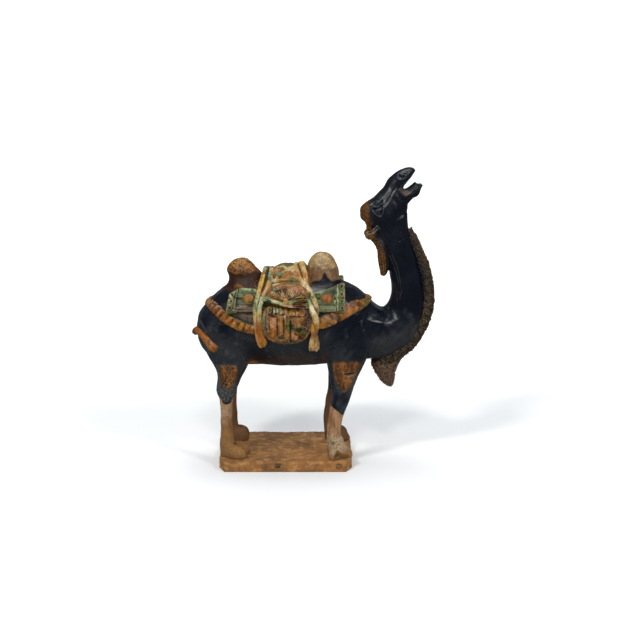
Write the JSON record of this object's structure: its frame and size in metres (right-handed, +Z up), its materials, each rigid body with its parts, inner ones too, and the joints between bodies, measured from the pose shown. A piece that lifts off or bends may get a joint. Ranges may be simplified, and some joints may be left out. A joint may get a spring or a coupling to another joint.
{
  "type": "three-colour glazed pottery camel figure",
  "caption": "Glazed pottery Bactrian camel, head thrown back with open mouth, laden with a tied saddlebag, pack boards and ropes, on a low unglazed plinth.",
  "frame": {"origin": "middle of the plinth's underside", "axes": "+X the way the camel faces, +Y to its left side, +Z up"},
  "size_m": [0.4414, 0.198, 0.5399],
  "materials": {
    "camel_glaze": "glossy blue-black lead glaze with amber, green and cream areas, bare buff clay on the lower legs",
    "bare_clay": "unglazed orange-buff earthenware with earth in its surface"
  },
  "bodies": {
    "root": {"camel": "camel_glaze", "plinth": "bare_clay"}
  },
  "joints": []
}
